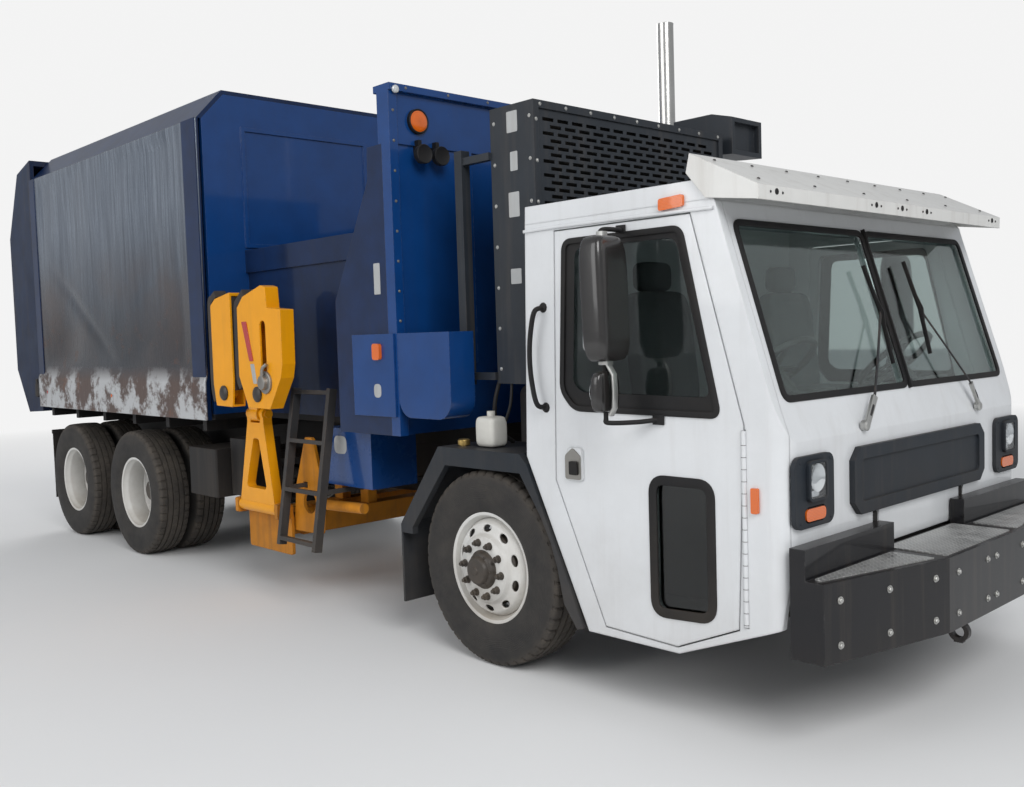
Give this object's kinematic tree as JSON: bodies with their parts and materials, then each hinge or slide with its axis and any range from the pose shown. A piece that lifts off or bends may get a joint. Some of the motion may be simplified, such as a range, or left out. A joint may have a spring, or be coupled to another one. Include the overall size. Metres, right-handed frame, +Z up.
{
  "type": "side-loading garbage truck",
  "caption": "Low-cab refuse truck with twin rear axles, an open hopper, a packer body with a hinged tailgate, and a side grabber arm folded upright in the hopper's recess.",
  "frame": {"origin": "on the ground under the middle of the truck's overall length and width", "axes": "+X forward, +Y to the truck's left, +Z up"},
  "size_m": [9.3559, 2.942, 3.9],
  "materials": {
    "white_paint": "gloss",
    "cab_floor": "satin",
    "slate_trim": "satin",
    "bumper_black": "satin",
    "glass": "clear",
    "dash_grey": "matte",
    "seat_fabric": "woven",
    "mirror_black": "gloss",
    "frame_black": "satin",
    "engine_iron": "cast",
    "cooler_slate": "satin",
    "stack_chrome": "bright",
    "tank_aluminium": "brushed",
    "box_black": "satin",
    "tyre": "rubber",
    "wheel_white": "gloss",
    "body_blue": "gloss, worn and rusty at its lower edges",
    "packer_steel": "scuffed",
    "arm_yellow": "gloss, scratched"
  },
  "bodies": {
    "chassis": {"frame_rails": "frame_black", "crossmembers": "frame_black", "front_axle": "frame_black", "drive_axles": "frame_black", "engine": "engine_iron", "front_bumper": "bumper_black", "mudguards": "slate_trim", "cooling_box": "cooler_slate", "cooling_grille": "cooler_slate", "air_intake": "cooler_slate", "exhaust_stack": "stack_chrome", "fuel_tank": "tank_aluminium", "tool_boxes": "box_black", "side_ladder": "frame_black", "arm_base": "arm_yellow"},
    "knuckle_right": {"knuckle_right": "frame_black"},
    "knuckle_left": {"knuckle_left": "frame_black"},
    "front_wheel_right": {"front_tyre_right": "tyre", "front_wheel_right": "wheel_white"},
    "front_wheel_left": {"front_tyre_left": "tyre", "front_wheel_left": "wheel_white"},
    "mid_wheels_right": {"mid_tyres_right": "tyre", "mid_wheels_right": "wheel_white"},
    "mid_wheels_left": {"mid_tyres_left": "tyre", "mid_wheels_left": "wheel_white"},
    "rear_wheels_right": {"rear_tyres_right": "tyre", "rear_wheels_right": "wheel_white"},
    "rear_wheels_left": {"rear_tyres_left": "tyre", "rear_wheels_left": "wheel_white"},
    "cab": {"cab_roof": "white_paint", "cab_back": "white_paint", "cab_front": "white_paint", "cab_sides": "white_paint", "cab_floor": "cab_floor", "windscreen": "glass", "sun_visor": "white_paint", "grille_panel": "slate_trim", "dashboard": "dash_grey", "seats": "seat_fabric"},
    "door_right": {"door_right": "white_paint", "door_glass_right": "glass", "mirror_right": "mirror_black"},
    "door_left": {"door_left": "white_paint", "door_glass_left": "glass", "mirror_left": "mirror_black"},
    "bed": {"bed_frame": "body_blue", "body_sides": "body_blue", "body_roof": "body_blue", "body_front": "body_blue", "hopper_front": "body_blue", "hopper_left": "body_blue", "hopper_right": "body_blue", "valve_cabinet": "body_blue"},
    "packer": {"packer": "packer_steel"},
    "tailgate": {"tailgate": "body_blue"},
    "arm_carriage": {"arm_carriage": "arm_yellow"},
    "lift_arm": {"lift_arm": "arm_yellow"},
    "gripper_head": {"gripper_head": "arm_yellow"},
    "finger_front": {"finger_front": "arm_yellow"},
    "finger_rear": {"finger_rear": "arm_yellow"}
  },
  "joints": [
    {"name": "steer_left", "type": "hinge", "parent": "chassis", "child": "knuckle_left", "pos_m": [2.525, 0.915, 0.525], "axis": [0, 0, 1], "range_deg": [-35, 35]},
    {"name": "steer_right", "type": "hinge", "parent": "chassis", "child": "knuckle_right", "pos_m": [2.525, -0.915, 0.525], "axis": [0, 0, 1], "range_deg": [-35, 35]},
    {"name": "roll_front_right", "type": "hinge", "parent": "knuckle_right", "child": "front_wheel_right", "pos_m": [2.525, -1.05, 0.525], "axis": [0, 1, 0], "continuous": true},
    {"name": "roll_front_left", "type": "hinge", "parent": "knuckle_left", "child": "front_wheel_left", "pos_m": [2.525, 1.05, 0.525], "axis": [0, 1, 0], "continuous": true},
    {"name": "roll_mid_right", "type": "hinge", "parent": "chassis", "child": "mid_wheels_right", "pos_m": [-1.909, -0.926, 0.525], "axis": [0, 1, 0], "continuous": true},
    {"name": "roll_mid_left", "type": "hinge", "parent": "chassis", "child": "mid_wheels_left", "pos_m": [-1.909, 0.926, 0.525], "axis": [0, 1, 0], "continuous": true},
    {"name": "roll_rear_right", "type": "hinge", "parent": "chassis", "child": "rear_wheels_right", "pos_m": [-3.277, -0.926, 0.525], "axis": [0, 1, 0], "continuous": true},
    {"name": "roll_rear_left", "type": "hinge", "parent": "chassis", "child": "rear_wheels_left", "pos_m": [-3.277, 0.926, 0.525], "axis": [0, 1, 0], "continuous": true},
    {"name": "cab_tilt", "type": "hinge", "parent": "chassis", "child": "cab", "pos_m": [4.32, 0, 0.91], "axis": [0, 1, 0], "range_deg": [0, 45]},
    {"name": "door_right_swing", "type": "hinge", "parent": "cab", "child": "door_right", "pos_m": [4.151, -1.19, 0.93], "axis": [0, 0, 1], "range_deg": [0, 80]},
    {"name": "door_left_swing", "type": "hinge", "parent": "cab", "child": "door_left", "pos_m": [4.151, 1.19, 0.93], "axis": [0, 0, -1], "range_deg": [0, 80]},
    {"name": "bed_tip", "type": "hinge", "parent": "chassis", "child": "bed", "pos_m": [-3.905, 0, 0.99], "axis": [0, -1, 0], "range_deg": [0, 45]},
    {"name": "packer_slide", "type": "slide", "parent": "bed", "child": "packer", "axis": [-1, 0, 0], "range_m": [0, 1.65]},
    {"name": "tailgate_lift", "type": "hinge", "parent": "bed", "child": "tailgate", "pos_m": [-4.02, 0, 3.7], "axis": [0, 1, 0], "range_deg": [0, 90]},
    {"name": "arm_reach", "type": "slide", "parent": "chassis", "child": "arm_carriage", "axis": [0, -1, 0], "range_m": [0, 1.2]},
    {"name": "arm_lift", "type": "hinge", "parent": "arm_carriage", "child": "lift_arm", "pos_m": [0.175, -1.18, 0.62], "axis": [1, 0, 0], "range_deg": [0, 60]},
    {"name": "gripper_tilt", "type": "hinge", "parent": "lift_arm", "child": "gripper_head", "pos_m": [0.195, -1.18, 1.27], "axis": [1, 0, 0], "range_deg": [0, 90]},
    {"name": "finger_front_open", "type": "hinge", "parent": "gripper_head", "child": "finger_front", "pos_m": [0.485, -1.3, 1.42], "axis": [0, 1, 0], "range_deg": [0, 50]},
    {"name": "finger_rear_open", "type": "hinge", "parent": "gripper_head", "child": "finger_rear", "pos_m": [0.025, -1.3, 1.42], "axis": [0, -1, 0], "range_deg": [0, 50]}
  ],
  "couplings": [
    {"joint": "steer_right", "follows": "steer_left", "ratio": 1},
    {"joint": "finger_rear_open", "follows": "finger_front_open", "ratio": 1}
  ]
}
